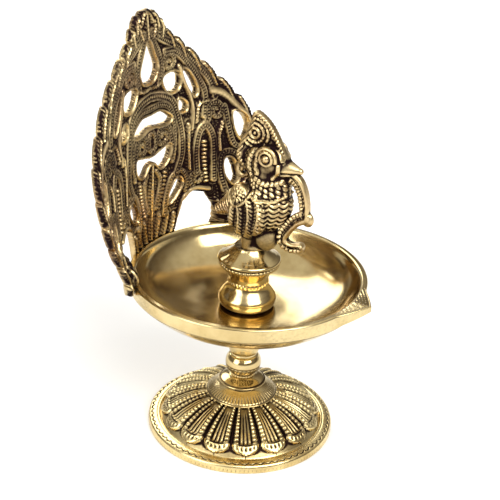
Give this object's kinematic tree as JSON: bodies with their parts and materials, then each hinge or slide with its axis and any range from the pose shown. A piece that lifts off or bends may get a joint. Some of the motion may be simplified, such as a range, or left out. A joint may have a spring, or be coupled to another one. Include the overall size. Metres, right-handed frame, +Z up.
{
  "type": "standing oil lamp",
  "caption": "Brass standing oil lamp: petalled foot, turned stem, shallow bowl with a wick spout, a bird on a post and a curved openwork tail plate.",
  "frame": {"origin": "centre of the foot's resting ring, on the surface the lamp stands on", "axes": "+Z up, the wick spout points along -Y, the tail plate stands at +Y, +X to the bird's left"},
  "size_m": [0.113, 0.1059, 0.1655],
  "materials": {
    "antique_brass": "cast brass with dark patina in the recesses",
    "polished_brass": "polished",
    "plain_brass": "plain turned, unpolished"
  },
  "bodies": {
    "base": {"foot": "antique_brass", "foot_washer": "plain_brass", "foot_nut": "plain_brass", "tie_rod": "plain_brass", "collar": "polished_brass", "stem_disc": "polished_brass", "stem_knop": "polished_brass"},
    "dish": {"bowl": "polished_brass", "tail_fan": "antique_brass"},
    "figure": {"pedestal": "polished_brass", "pedestal_cap": "polished_brass", "figure_stud": "plain_brass", "peacock": "antique_brass"}
  },
  "joints": [
    {"name": "bowl_unscrew", "type": "hinge", "parent": "base", "child": "dish", "pos_m": [0, 0, 0.0337], "axis": [0, 0, 1], "range_deg": [0, 1710]},
    {"name": "figure_unscrew", "type": "hinge", "parent": "dish", "child": "figure", "pos_m": [0, 0, 0.0554], "axis": [0, 0, 1], "range_deg": [0, 1170]}
  ]
}
